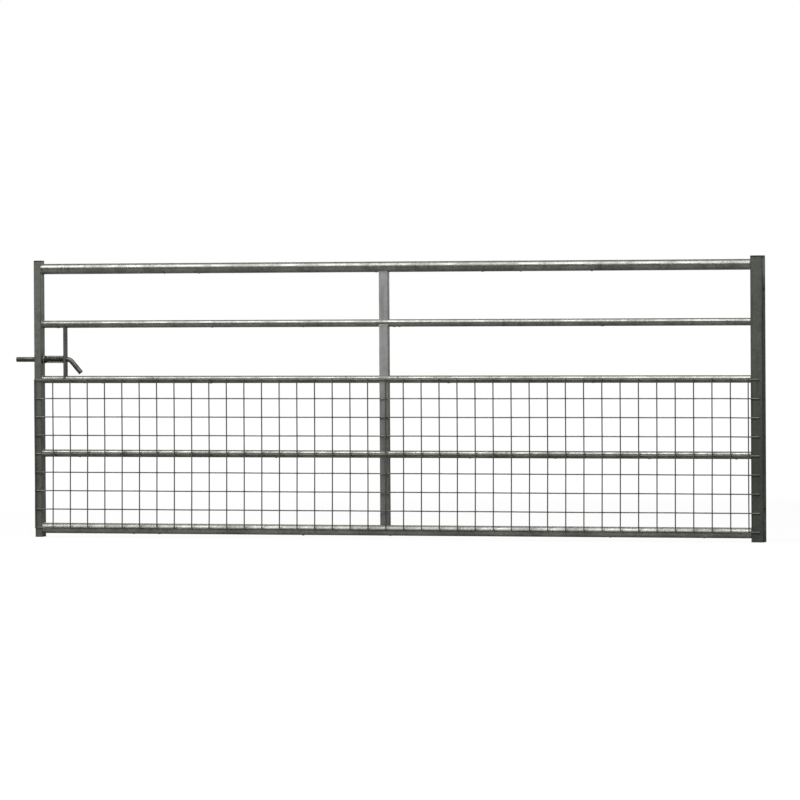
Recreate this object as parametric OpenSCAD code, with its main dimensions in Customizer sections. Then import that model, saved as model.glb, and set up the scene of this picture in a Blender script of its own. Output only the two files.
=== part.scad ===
// Half-mesh field gate: two box-section stiles, five round rails, a centre upright,
// square welded mesh over the lower half, and a sprung slam bolt.
// +X runs from the slam end to the hanging end, -Y is the meshed front face, +Z is up.
// The origin is the centre of the lower hinge bore, on the hanging stile's centre line.

/* [Stiles] */
// Length of the gate over both stiles
gate_length = 3062; // [2462:75:3662]
// Length of each stile tube, without its cap
stile_length = 1120; // [1115:1:1140]
// Depth of both stiles, front to back
stile_depth = 50; // [46:1:60]
// Width of the hanging stile
hanging_width = 50; // [44:1:60]
// Width of the slam stile
slam_width = 30; // [26:1:40]
// Wall of both stile tubes
stile_wall = 3; // [2:0.5:4]
// Outside corner radius of both stile tubes
stile_corner = 5; // [4:0.5:7]
// Thickness of a stile cap above the tube
cap_rise = 6; // [4:0.5:10]
// Depth of a stile cap's plug inside the tube
cap_plug = 14; // [8:1:20]

/* [Rails] */
// Diameter of the top and bottom rails
outer_rail_d = 42.4; // [38:0.1:48]
// Diameter of the three rails between them
inner_rail_d = 30; // [27:0.1:34]
// Wall of every rail
rail_wall = 2.5; // [1.6:0.1:3.2]
// Height of the top rail's centre above the foot of the stiles
top_rail_h = 1091; // [1080:1:1095]
// Height of the second rail's centre
second_rail_h = 866; // [820:1:900]
// Height of the third rail's centre
third_rail_h = 641; // [630:1:650]
// Height of the fourth rail's centre
fourth_rail_h = 341; // [330:1:350]
// Height of the bottom rail's centre
bottom_rail_h = 36; // [30:1:42]
// Diameter of the vent hole in the third rail
vent_d = 6; // [4:0.5:10]

/* [Hinge bores] */
// Distance of each hinge bore from the nearer end of the stile
hinge_inset = 127; // [100:1:180]
// Diameter of both hinge bores
hinge_bore_d = 22; // [16:0.5:26]

/* [Centre upright] */
// Distance of the upright's centre from the outside of the slam stile
upright_from_slam = 1495; // [1100:1:1700]
// Width of the upright
upright_width = 38; // [25:1:50]
// Depth of the upright
upright_depth = 25; // [15:1:26]
// Wall of the upright
upright_wall = 2; // [1.5:0.5:3]

/* [Mesh] */
// Distance between neighbouring wires, both ways
mesh_pitch = 75; // [50:25:75]
// Diameter of the mesh wire
wire_d = 5; // [3:0.5:6]
// How far crossing wires are pressed into each other at their welds
weld_set = 0.5; // [0.1:0.1:0.8]
// Length of a cross wire beyond the outermost line wires
wire_overhang = 3; // [2:0.5:6]

/* [Latch] */
// Diameter of the bolt
bolt_d = 20; // [16:0.5:22]
// Height of the bolt above the third rail's centre
bolt_rise = 82; // [78:1:120]
// Length of the bolt's nose outside the slam stile
nose_length = 84; // [60:1:100]
// Angle that the handle is bent down by
handle_angle = 49; // [30:1:60]
// Radius of the handle's bend, on its centre line
handle_bend_r = 30; // [24:1:40]
// Length of the handle's straight end
handle_length = 58; // [30:1:60]
// Distance from the slam stile to the latch guide
guide_gap = 94; // [90:1:120]
// Thickness of the latch guide bar
guide_thickness = 8; // [5:0.5:10]
// Depth of the latch guide bar
guide_depth = 30; // [26:1:40]
// Diameter of the spring washer
washer_d = 34; // [32:1:40]
// Thickness of the spring washer
washer_t = 3; // [2:0.5:5]
// Diameter of the cross pin that drives the washer
pin_d = 5; // [4:0.5:6]
// Length of the cross pin
pin_length = 30; // [26:1:32]
// Outside diameter of the spring
spring_d = 31; // [28:0.5:34]
// Wire diameter of the spring
spring_wire_d = 3; // [2:0.1:3]
// Working coils of the spring
spring_coils = 11; // [8:1:11]

/* [Hidden] */

round_fn = 64;
wire_fn = 32;
// Length that a cut runs past the surface it breaks through
past = 1;
// Gap between pieces that only lie against each other
touch_gap = 0.05;
// Gap between latch pieces that stop or turn against each other
stop_gap = 0.3;
// Clearance of the bolt in the holes that guide it, on the radius
bolt_play = 1;
// Clearance of the washer on the bolt, on the radius
washer_play = 0.5;
// Clearance of the cap's plug in the tube, all round
plug_play = 0.3;
// Wall of the cap's plug
plug_wall = 2;
// Height of the bevelled tier on top of a cap, and how far it is set in
cap_bevel = 1.5;
// Diameter of the half-round drain in the slam stile's foot
drain_d = 16;
// Distance of the first cross wire from the slam stile's outside
first_wire_inset = 5;
// Clear width between the last cross wire's centre and the hanging stile
last_wire_gap = 7;
// Where a line wire stops short of the slam stile's outside and of the hanging stile's outside
line_end_slam = 1;
line_end_hanging = 14;
// Where each joggle starts and ends, measured from its stile's inner face
slam_joggle = [5, 45];
hanging_joggle = [17, 62];
// How far the top line wire sits below the third rail's centre
mesh_drop = 2;
// How much larger a bend's knuckle is than the rod, on the diameter
knuckle_swell = 0.04;
// How far each length of a cranked wire runs past its bend, into the next length
crank_lap = 1;
// Radius of the bolt nose's rounded edge
nose_edge_r = 5;
// Straight length of the bolt between the guide and the bend
bolt_beyond_guide = 2;
// Diameter of the hole for the cross pin
pin_hole_d = pin_d + 0.04;
// Angle of the vent hole above straight ahead, and its distance from the upright's centre
vent_angle = 35;
vent_from_upright = 60;
// Spring: closed coils at each end, gap at each end face, steps per coil and sides of the wire
closed_coils = 1;
end_gap = 0.1;
coil_steps = 14;
coil_sides = 6;

// Faces across the gate, along X
hanging_inner = -hanging_width / 2;
hanging_outer = hanging_width / 2;
slam_outer = hanging_outer - gate_length;
slam_inner = slam_outer + slam_width;
upright_x = slam_outer + upright_from_slam;

// Levels up the gate, along Z
foot_z = -hinge_inset;
stile_top_z = foot_z + stile_length;
upper_hinge_z = stile_top_z - hinge_inset;
top_rail_z = foot_z + top_rail_h;
second_rail_z = foot_z + second_rail_h;
third_rail_z = foot_z + third_rail_h;
fourth_rail_z = foot_z + fourth_rail_h;
bottom_rail_z = foot_z + bottom_rail_h;
rail_z = [top_rail_z, second_rail_z, third_rail_z, fourth_rail_z, bottom_rail_z];
rail_d = [outer_rail_d, inner_rail_d, inner_rail_d, inner_rail_d, outer_rail_d];

// Mesh: line wires run along the gate, cross wires stand in front of them
line_wires = 9;
mesh_columns = floor((gate_length - hanging_width - first_wire_inset - last_wire_gap) / mesh_pitch);
top_line_z = third_rail_z - mesh_drop;
bottom_line_z = top_line_z - (line_wires - 1) * mesh_pitch;
first_wire_x = slam_outer + first_wire_inset;
line_y_upper = -(inner_rail_d / 2 + wire_d / 2 + touch_gap);
line_y_bottom = -(outer_rail_d / 2 + wire_d / 2 + touch_gap);
line_y_stile = -(stile_depth / 2 + wire_d / 2 + touch_gap);
cross_step = wire_d - weld_set;
knee_angle = atan((line_y_upper - line_y_bottom) / (fourth_rail_z - bottom_line_z));

// Latch
bolt_z = third_rail_z + bolt_rise;
nose_x = slam_outer - nose_length;
guide_x = slam_inner + guide_gap;
pin_x = slam_inner + stop_gap + pin_d / 2;
washer_x = pin_x + pin_d / 2 + stop_gap;
spring_x = washer_x + washer_t + end_gap;
spring_length = guide_x - end_gap - spring_x;
bend_x = guide_x + guide_thickness + bolt_beyond_guide;

// Depth of a line wire in front of the rails, at level z
function line_y(z) = line_y_upper - max(0, fourth_rail_z - z) * tan(knee_angle);

module rounded_rect(w, d, r) {
    square([w, d - 2 * r], center = true);
    square([w - 2 * r, d], center = true);
    for (x = [-1, 1], y = [-1, 1])
        translate([x * (w / 2 - r), y * (d / 2 - r)]) circle(r, $fn = round_fn);
}

// Upright box section standing on the origin
module box_tube(w, d, wall, corner, length) {
    linear_extrude(length) difference() {
        rounded_rect(w, d, corner);
        rounded_rect(w - 2 * wall, d - 2 * wall, corner - wall);
    }
}

// Rod or cutter along +X, starting at x
module bar_x(x, length, d, fn = round_fn) {
    translate([x, 0, 0]) rotate([0, 90, 0]) cylinder(d = d, h = length, $fn = fn);
}

module stile_cap(w) {
    inner_w = w - 2 * (stile_wall + plug_play);
    inner_d = stile_depth - 2 * (stile_wall + plug_play);
    plug_corner = plug_wall + 0.5;
    bevel_inset = 2 * cap_bevel;
    linear_extrude(cap_rise - cap_bevel) rounded_rect(w, stile_depth, stile_corner);
    translate([0, 0, cap_rise - cap_bevel])
        linear_extrude(cap_bevel)
            rounded_rect(w - bevel_inset, stile_depth - bevel_inset, stile_corner - cap_bevel);
    translate([0, 0, -cap_plug]) box_tube(inner_w, inner_d, plug_wall, plug_corner, cap_plug);
}

module hanging_stile() {
    color("#5c605a") difference() {
        translate([0, 0, foot_z])
            box_tube(hanging_width, stile_depth, stile_wall, stile_corner, stile_length);
        for (z = [0, upper_hinge_z])
            translate([0, 0, z])
                bar_x(hanging_inner - past, hanging_width + 2 * past, hinge_bore_d);
    }
}

module slam_stile() {
    color("#6e726c") difference() {
        translate([(slam_outer + slam_inner) / 2, 0, foot_z])
            box_tube(slam_width, stile_depth, stile_wall, stile_corner, stile_length);
        translate([0, 0, bolt_z])
            bar_x(slam_outer - past, slam_width + 2 * past, bolt_d + 2 * bolt_play);
        translate([0, 0, foot_z])
            bar_x(slam_inner - stile_wall - past, stile_wall + 2 * past, drain_d);
    }
}

module hanging_stile_cap() {
    color("#141514") translate([0, 0, stile_top_z]) stile_cap(hanging_width);
}

module slam_stile_cap() {
    color("#141514")
        translate([(slam_outer + slam_inner) / 2, 0, stile_top_z]) stile_cap(slam_width);
}

// Rail number i, counted from the top
module rail(i) {
    length = hanging_inner - slam_inner;
    color("#7d817b") translate([0, 0, rail_z[i]]) difference() {
        bar_x(slam_inner, length, rail_d[i]);
        bar_x(slam_inner - past, length + 2 * past, rail_d[i] - 2 * rail_wall);
    }
}

module third_rail() {
    difference() {
        rail(2);
        translate([upright_x + vent_from_upright, 0, third_rail_z])
            rotate([90 - vent_angle, 0, 0]) cylinder(d = vent_d, h = inner_rail_d, $fn = round_fn);
    }
}

// Cuts the round of rail i, so that a piece ends against it
module rail_cope(i, x, width) {
    translate([0, 0, rail_z[i]])
        bar_x(x - width / 2 - past, width + 2 * past, rail_d[i] + 2 * touch_gap);
}

// Length of the centre upright between rail i and the next one down
module centre_upright(i) {
    color("#8b8e89") difference() {
        translate([upright_x, 0, rail_z[i + 1]])
            box_tube(upright_width, upright_depth, upright_wall, upright_wall + 1, rail_z[i] - rail_z[i + 1]);
        rail_cope(i, upright_x, upright_width);
        rail_cope(i + 1, upright_x, upright_width);
    }
}

module latch_guide() {
    middle_x = guide_x + guide_thickness / 2;
    color("#565a55") difference() {
        translate([guide_x, -guide_depth / 2, third_rail_z])
            cube([guide_thickness, guide_depth, second_rail_z - third_rail_z]);
        rail_cope(1, middle_x, guide_thickness);
        rail_cope(2, middle_x, guide_thickness);
        translate([0, 0, bolt_z])
            bar_x(guide_x - past, guide_thickness + 2 * past, bolt_d + 2 * bolt_play);
    }
}

// Round rod from point p to point q
module rod(p, q, d, fn = round_fn) {
    way = q - p;
    translate(p) rotate([0, acos(way[2] / norm(way)), atan2(way[1], way[0])])
        cylinder(d = d, h = norm(way), $fn = fn);
}

// Ball that closes the joint between two lengths of one bent rod
module knuckle(p, d, fn = round_fn) {
    translate(p) sphere(d = d + knuckle_swell, $fn = fn);
}

// Wire bent gently at each inner point of its route
module bent_wire(route) {
    for (i = [1 : len(route) - 1]) rod(route[i - 1], route[i], wire_d, wire_fn);
    for (i = [1 : len(route) - 2]) knuckle(route[i], wire_d, wire_fn);
}

// Wire cranked at each inner point of its route, where both lengths run on into each other
module cranked_wire(route) {
    last = len(route) - 1;
    for (i = [1 : last]) {
        way = (route[i] - route[i - 1]) / norm(route[i] - route[i - 1]);
        start = i == 1 ? route[0] : route[i - 1] - crank_lap * way;
        end = i == last ? route[last] : route[i] + crank_lap * way;
        rod(start, end, wire_d, wire_fn);
    }
}

// Line wire number i, counted from the top: it lies on the rails and steps forward over both stiles
module line_wire(i) {
    z = top_line_z - i * mesh_pitch;
    y = line_y(z);
    color("#777b76") cranked_wire([
        [slam_outer + line_end_slam, line_y_stile, z],
        [slam_inner + slam_joggle[0], line_y_stile, z],
        [slam_inner + slam_joggle[1], y, z],
        [hanging_inner - hanging_joggle[1], y, z],
        [hanging_inner - hanging_joggle[0], line_y_stile, z],
        [hanging_outer - line_end_hanging, line_y_stile, z],
    ]);
}

// Cross wire that follows the line wires: upright to the fourth rail, then leaning forward
module leaning_cross_wire(x) {
    foot = bottom_line_z - wire_overhang;
    bent_wire([
        [x, line_y_upper - cross_step, top_line_z + wire_overhang],
        [x, line_y_upper - cross_step, fourth_rail_z],
        [x, line_y(foot) - cross_step, foot],
    ]);
}

// Cross wire over a stile, where every line wire has the same depth
module straight_cross_wire(x) {
    translate([x, line_y_stile - cross_step, bottom_line_z - wire_overhang])
        cylinder(d = wire_d, h = top_line_z - bottom_line_z + 2 * wire_overhang, $fn = wire_fn);
}

module mesh_cross_wires() {
    color("#777b76") {
        for (i = [1 : mesh_columns - 1]) leaning_cross_wire(first_wire_x + i * mesh_pitch);
        for (i = [0, mesh_columns]) straight_cross_wire(first_wire_x + i * mesh_pitch);
    }
}

// The bolt's profile from its axis out, with a rounded edge at the nose
module nose_profile(length) {
    r = bolt_d / 2;
    translate([0, nose_edge_r]) square([r, length - nose_edge_r]);
    square([r - nose_edge_r, length]);
    translate([r - nose_edge_r, nose_edge_r]) circle(nose_edge_r, $fn = round_fn);
}

module latch_bolt() {
    color("#4e4c44") translate([0, 0, bolt_z]) {
        difference() {
            translate([nose_x, 0, 0]) rotate([0, 90, 0])
                rotate_extrude($fn = round_fn) nose_profile(bend_x - nose_x);
            translate([pin_x, 0, -bolt_d])
                cylinder(d = pin_hole_d, h = 2 * bolt_d, $fn = round_fn);
        }
        translate([bend_x, 0, -handle_bend_r]) rotate([90, 0, 0]) rotate([0, 0, 90 - handle_angle])
            rotate_extrude(angle = handle_angle, $fn = 4 * round_fn)
                translate([handle_bend_r, 0]) circle(d = bolt_d, $fn = round_fn);
        translate([bend_x, 0, -handle_bend_r]) rotate([0, handle_angle, 0])
            translate([0, 0, handle_bend_r]) {
                bar_x(0, handle_length, bolt_d);
                knuckle([0, 0, 0], bolt_d);
            }
        knuckle([bend_x, 0, 0], bolt_d);
    }
}

module bolt_pin() {
    color("#5c5a50") translate([pin_x, 0, bolt_z - pin_length / 2])
        cylinder(d = pin_d, h = pin_length, $fn = round_fn);
}

module spring_washer() {
    color("#5a5d58") translate([0, 0, bolt_z]) difference() {
        bar_x(washer_x, washer_t, washer_d);
        bar_x(washer_x - past, washer_t + 2 * past, bolt_d + 2 * washer_play);
    }
}

// Travel along the spring's axis after t coils: the end coils lie closed, the others are open
closed_pitch = spring_wire_d + end_gap;
open_pitch = (spring_length - spring_wire_d - 2 * closed_coils * closed_pitch) / spring_coils;
function coil_travel(t) =
    min(t, closed_coils) * closed_pitch
    + max(0, min(t - closed_coils, spring_coils)) * open_pitch
    + max(0, t - closed_coils - spring_coils) * closed_pitch;

// Ring of points round the spring wire after t coils
function coil_ring(t) = [
    for (k = [0 : coil_sides - 1])
        let (
            a = k * 360 / coil_sides,
            r = (spring_d - spring_wire_d) / 2 + cos(a) * spring_wire_d / 2
        )
        [spring_wire_d / 2 + coil_travel(t) + sin(a) * spring_wire_d / 2, r * sin(360 * t), r * cos(360 * t)]
];

module latch_spring() {
    steps = (spring_coils + 2 * closed_coils) * coil_steps;
    points = [for (i = [0 : steps]) each coil_ring(i / coil_steps)];
    sides = [
        for (i = [0 : steps - 1], k = [0 : coil_sides - 1])
            let (n = (k + 1) % coil_sides, a = i * coil_sides, b = (i + 1) * coil_sides)
            [a + k, a + n, b + n, b + k]
    ];
    start_cap = [for (k = [coil_sides - 1 : -1 : 0]) k];
    end_cap = [for (k = [0 : coil_sides - 1]) steps * coil_sides + k];
    color("#2f302c") translate([spring_x, 0, bolt_z])
        polyhedron(points, concat(sides, [start_cap, end_cap]), convexity = 20);
}

hanging_stile();
slam_stile();
hanging_stile_cap();
slam_stile_cap();
rail(0);  // top_rail
rail(1);  // second_rail
third_rail();
rail(3);  // fourth_rail
rail(4);  // bottom_rail
centre_upright(0);  // centre_upright_1
centre_upright(1);  // centre_upright_2
centre_upright(2);  // centre_upright_3
centre_upright(3);  // centre_upright_4
line_wire(0);  // mesh_line_wire_1
line_wire(1);  // mesh_line_wire_2
line_wire(2);  // mesh_line_wire_3
line_wire(3);  // mesh_line_wire_4
line_wire(4);  // mesh_line_wire_5
line_wire(5);  // mesh_line_wire_6
line_wire(6);  // mesh_line_wire_7
line_wire(7);  // mesh_line_wire_8
line_wire(8);  // mesh_line_wire_9
mesh_cross_wires();
latch_guide();
latch_bolt();
bolt_pin();
spring_washer();
latch_spring();
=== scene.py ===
"""Visual model of a half-mesh field gate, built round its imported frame.

The tubes, stiles, uprights, guide bar and pin of the frame keep their shapes and get full finishes.
The welded mesh, stile caps, slam bolt, washer and spring are rebuilt in finer shapes that stand
for their nodes, and weld beads, tacks and zinc drips are added. Everything is in metres: +X runs
to the hanging end, -Y is the meshed face and +Z is up.
"""

import logging
import math
import random
from collections.abc import Sequence
from dataclasses import dataclass
from enum import Enum
from functools import cached_property

import bpy
from mathutils import Euler, Matrix, Quaternion, Vector


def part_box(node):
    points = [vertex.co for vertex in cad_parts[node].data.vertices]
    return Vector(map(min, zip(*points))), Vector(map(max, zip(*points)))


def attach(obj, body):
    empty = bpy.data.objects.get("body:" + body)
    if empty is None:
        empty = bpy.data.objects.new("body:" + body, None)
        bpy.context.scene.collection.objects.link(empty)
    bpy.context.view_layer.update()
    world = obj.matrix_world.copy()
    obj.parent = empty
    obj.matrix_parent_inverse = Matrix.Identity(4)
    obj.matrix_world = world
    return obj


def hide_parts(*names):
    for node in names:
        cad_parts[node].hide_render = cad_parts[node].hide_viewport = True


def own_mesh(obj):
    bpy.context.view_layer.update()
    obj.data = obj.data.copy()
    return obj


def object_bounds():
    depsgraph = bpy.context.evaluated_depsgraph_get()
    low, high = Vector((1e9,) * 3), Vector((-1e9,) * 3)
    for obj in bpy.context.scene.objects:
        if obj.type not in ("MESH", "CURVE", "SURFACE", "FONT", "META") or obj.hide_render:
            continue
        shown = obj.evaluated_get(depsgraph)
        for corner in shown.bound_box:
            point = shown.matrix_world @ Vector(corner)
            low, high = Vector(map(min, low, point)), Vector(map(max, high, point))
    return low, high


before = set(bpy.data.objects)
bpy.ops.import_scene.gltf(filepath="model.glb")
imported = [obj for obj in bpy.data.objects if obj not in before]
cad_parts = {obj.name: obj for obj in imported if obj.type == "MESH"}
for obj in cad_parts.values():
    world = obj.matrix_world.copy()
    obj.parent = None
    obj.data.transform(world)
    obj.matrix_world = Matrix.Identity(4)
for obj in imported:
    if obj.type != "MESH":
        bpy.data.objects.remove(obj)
CAD_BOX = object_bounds()

LOG = logging.getLogger("field_gate")
CREASE_ANGLE = math.radians(40)
# A noise's colours lie about this middle.
NOISE_MIDDLE = (0.5, 0.5, 0.5)
NO_MOVE = (0.0, 0.0, 0.0)
# Turn of a weld bead's ripple at each step along it.
RIPPLE_TURN = math.pi / 2
# Least and greatest size of a lump, and the most that it is turned about each axis.
LUMP_SWELL = (0.75, 1.2)
LUMP_TURN = 0.3
WHITE = (1.0, 1.0, 1.0)
# The point of the gate that the lights face.
GATE_MIDDLE = (-1.478, 0.0, 0.4)
LINE_WIRE_COUNT = 9
RAIL_NODES = ("top_rail", "second_rail", "third_rail", "fourth_rail", "bottom_rail")
UPRIGHT_NODES = tuple(f"centre_upright_{n}" for n in range(1, len(RAIL_NODES)))
# Point attribute of guide lines: the share of a rod's full radius.
REACH = "reach"

Colour = tuple[float, float, float]
Loop = list[Vector]


class Body(Enum):
    """Bodies of the frame that a piece can ride on."""

    GATE = "gate_frame"
    WASHER = "washer"
    BOLT = "bolt"


class Slot(Enum):
    """Material slots of the frame."""

    BOX = "box_section"
    RAIL = "rail_tube"
    UPRIGHT = "upright_section"
    WIRE = "mesh_wire"
    BOLT = "bolt_steel"
    WASHER = "washer_steel"
    SPRING = "spring_steel"
    CAP = "cap_plastic"


# ---------------------------------------------------------------- node trees


class NodeGraph:
    """A node tree under construction, for geometry or for shading."""

    def __init__(self, tree: bpy.types.NodeTree) -> None:
        """Wraps a node tree.

        Args:
            tree: The tree that nodes are added to.
        """
        self.tree = tree

    def add(self, kind: str, inputs: dict | None = None, **settings: object) -> bpy.types.Node:
        """Adds one node, with its settings and inputs.

        Args:
            kind: The node's type name.
            inputs: Values or source sockets, by input name or number.
            **settings: Properties of the node.

        Returns:
            The new node.
        """
        node = self.tree.nodes.new(kind)
        for name, value in settings.items():
            setattr(node, name, value)
        for key, value in (inputs or {}).items():
            if isinstance(value, bpy.types.NodeSocket):
                self.tree.links.new(value, node.inputs[key])
            else:
                node.inputs[key].default_value = value
        return node

    def math(self, operation: str, *values: object) -> bpy.types.NodeSocket:
        """Adds a Math node.

        Args:
            operation: The node's operation.
            *values: The values or sockets that it works on, in order.

        Returns:
            The result's socket.
        """
        return self.add("ShaderNodeMath", dict(enumerate(values)), operation=operation).outputs[0]

    def spread(self, value: object, low: float, high: float) -> bpy.types.NodeSocket:
        """Maps a value from low..high to 0..1 with soft ends.

        Args:
            value: Value or socket to map.
            low: Value that gives 0.
            high: Value that gives 1.

        Returns:
            The result's socket.
        """
        inputs = {"Value": value, "From Min": low, "From Max": high}
        node = self.add("ShaderNodeMapRange", inputs, interpolation_type="SMOOTHSTEP")
        return node.outputs["Result"]

    def noise(self, place: object, scale: object, detail: float = 4.0) -> bpy.types.Node:
        """Adds a noise texture.

        Args:
            place: Socket with the coordinates.
            scale: Features per metre.
            detail: Number of finer layers.

        Returns:
            The noise node.
        """
        return self.add("ShaderNodeTexNoise", {"Vector": place, "Scale": scale, "Detail": detail})

    def mix(self, factor: object, first: object, second: object) -> bpy.types.NodeSocket:
        """Blends two colours.

        Args:
            factor: Share of the second colour.
            first: First colour or socket.
            second: Second colour or socket.

        Returns:
            The blended colour's socket.
        """
        inputs = {0: factor}
        for key, colour in ((6, first), (7, second)):
            inputs[key] = (*colour, 1.0) if isinstance(colour, tuple) else colour
        return self.add("ShaderNodeMix", inputs, data_type="RGBA").outputs[2]


class GeometryTree(NodeGraph):
    """A geometry node tree with named inputs, which ends in plain smooth faces of one material."""

    def __init__(self, name: str) -> None:
        """Starts the tree.

        Args:
            name: The tree's name.
        """
        super().__init__(bpy.data.node_groups.new(name, "GeometryNodeTree"))
        self.tree.is_modifier = True
        for way in ("INPUT", "OUTPUT"):
            self.tree.interface.new_socket("Geometry", in_out=way, socket_type="NodeSocketGeometry")
        self.entry = self.add("NodeGroupInput")
        self.identifiers: dict[str, str] = {}

    def size(self, name: str, kind: str = "Float") -> bpy.types.NodeSocket:
        """Adds a named input.

        Args:
            name: The input's name.
            kind: Its socket type, without the NodeSocket prefix.

        Returns:
            The socket that carries the input's value.
        """
        item = self.tree.interface.new_socket(name, in_out="INPUT", socket_type=f"NodeSocket{kind}")
        self.identifiers[name] = item.identifier
        return self.entry.outputs[name]

    def guide_curves(self) -> bpy.types.NodeSocket:
        """Returns the guide lines as curves."""
        return self.add("GeometryNodeMeshToCurve", {"Mesh": self.entry.outputs["Geometry"]}).outputs[0]

    def wander(self, shape: bpy.types.NodeSocket) -> bpy.types.NodeSocket:
        """Moves points by a slow noise of their place, so that crossing wires stray together.

        Args:
            shape: Geometry to move.

        Returns:
            The moved geometry.
        """
        amount = self.size("Wander", "Vector")
        place = self.add("GeometryNodeInputPosition").outputs[0]
        stray = self.noise(place, self.size("Wander scale"), detail=1.0).outputs["Color"]
        centred = {0: stray, 1: NOISE_MIDDLE}
        middle = self.add("ShaderNodeVectorMath", centred, operation="SUBTRACT").outputs[0]
        offset = self.add("ShaderNodeVectorMath", {0: middle, 1: amount}, operation="MULTIPLY")
        inputs = {"Geometry": shape, "Offset": offset.outputs[0]}
        return self.add("GeometryNodeSetPosition", inputs).outputs[0]

    def sweep(self, curve: bpy.types.NodeSocket) -> bpy.types.NodeSocket:
        """Sweeps a circle along curves.

        Args:
            curve: Curves to follow.

        Returns:
            The closed rods.
        """
        outline = {"Resolution": self.size("Sides", "Int"), "Radius": self.size("Radius")}
        circle = self.add("GeometryNodeCurvePrimitiveCircle", outline).outputs["Curve"]
        inputs = {"Curve": curve, "Profile Curve": circle, "Fill Caps": True}
        return self.add("GeometryNodeCurveToMesh", inputs).outputs["Mesh"]

    def close(self, shape: bpy.types.NodeSocket) -> None:
        """Ends the tree in plain smooth faces of the chosen material.

        Args:
            shape: The finished geometry.
        """
        plain = self.add("GeometryNodeRealizeInstances", {"Geometry": shape}).outputs[0]
        smooth = self.add("GeometryNodeSetShadeSmooth", {"Geometry": plain}).outputs[0]
        inputs = {"Geometry": smooth, "Material": self.size("Material", "Material")}
        painted = self.add("GeometryNodeSetMaterial", inputs).outputs[0]
        self.add("NodeGroupOutput", {"Geometry": painted})

    def apply(self, piece: bpy.types.Object, sizes: dict) -> bpy.types.Object:
        """Runs the tree on a piece and keeps the plain mesh that it makes.

        Args:
            piece: Object that holds the tree's input geometry.
            sizes: Values of the named inputs.

        Returns:
            The same piece, with its finished mesh and no modifier.
        """
        modifier = piece.modifiers.new(self.tree.name, "NODES")
        modifier.node_group = self.tree
        for name, value in sizes.items():
            modifier[self.identifiers[name]] = value
        graph = bpy.context.evaluated_depsgraph_get()
        made = bpy.data.meshes.new_from_object(piece.evaluated_get(graph), depsgraph=graph)
        piece.modifiers.remove(modifier)
        guide_lines = piece.data
        piece.data = made
        made.name = piece.name
        bpy.data.meshes.remove(guide_lines)
        made.set_sharp_from_angle(angle=CREASE_ANGLE)
        return piece


class Trees:
    """The geometry node trees, each built once."""

    @cached_property
    def rod(self) -> GeometryTree:
        """Copies the guide lines along a step and sweeps each to a rod of round wire."""
        tree = GeometryTree("RodAlongLines")
        lines = tree.guide_curves()
        reach = tree.add("GeometryNodeInputNamedAttribute", {"Name": REACH}, data_type="FLOAT")
        inputs = {"Curve": lines, "Radius": reach.outputs["Attribute"]}
        shaped = tree.add("GeometryNodeSetCurveRadius", inputs).outputs[0]
        row = {"Count": tree.size("Copies", "Int"), "Offset": tree.size("Step", "Vector")}
        places = tree.add("GeometryNodeMeshLine", row, mode="OFFSET").outputs[0]
        inputs = {"Points": places, "Instance": shaped}
        copies = tree.add("GeometryNodeInstanceOnPoints", inputs).outputs[0]
        plain = tree.add("GeometryNodeRealizeInstances", {"Geometry": copies}).outputs[0]
        tree.close(tree.sweep(tree.wander(plain)))
        return tree

    @cached_property
    def bead(self) -> GeometryTree:
        """Lays a rippled weld bead along the guide lines."""
        tree = GeometryTree("WeldBead")
        lines = tree.guide_curves()
        inputs = {"Curve": lines, "Length": tree.size("Spacing")}
        even = tree.add("GeometryNodeResampleCurve", inputs, mode="LENGTH").outputs[0]
        step = tree.add("GeometryNodeInputIndex").outputs[0]
        wave = tree.math("SINE", tree.math("MULTIPLY", step, RIPPLE_TURN))
        ripple = tree.math("MULTIPLY", wave, tree.size("Ripple"))
        most = tree.size("Unevenness")
        least = tree.math("MULTIPLY", most, -1.0)
        limits = {2: least, 3: most, "Seed": tree.size("Seed", "Int")}
        chance = tree.add("FunctionNodeRandomValue", limits).outputs[1]
        fullness = tree.math("ADD", tree.math("ADD", ripple, chance), 1.0)
        shaped = tree.add("GeometryNodeSetCurveRadius", {"Curve": even, "Radius": fullness}).outputs[0]
        tree.close(tree.sweep(shaped))
        return tree

    @cached_property
    def lumps(self) -> GeometryTree:
        """Sets a small uneven lump of metal on every guide point."""
        tree = GeometryTree("LumpsOnPoints")
        points = tree.wander(tree.entry.outputs["Geometry"])
        outline = {"Segments": 8, "Rings": 5, "Radius": tree.size("Radius")}
        ball = tree.add("GeometryNodeMeshUVSphere", outline).outputs[0]
        seed = tree.size("Seed", "Int")
        swells = {2: LUMP_SWELL[0], 3: LUMP_SWELL[1], "Seed": seed}
        swell = tree.add("FunctionNodeRandomValue", swells).outputs[1]
        shape = {0: tree.size("Shape", "Vector"), "Scale": swell}
        scale = tree.add("ShaderNodeVectorMath", shape, operation="SCALE").outputs[0]
        turns = {0: (-LUMP_TURN,) * 3, 1: (LUMP_TURN,) * 3, "Seed": seed}
        turn = tree.add("FunctionNodeRandomValue", turns, data_type="FLOAT_VECTOR").outputs[0]
        inputs = {"Points": points, "Instance": ball, "Rotation": turn, "Scale": scale}
        tree.close(tree.add("GeometryNodeInstanceOnPoints", inputs).outputs[0])
        return tree


# ---------------------------------------------------------------- shared shading effects


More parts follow.
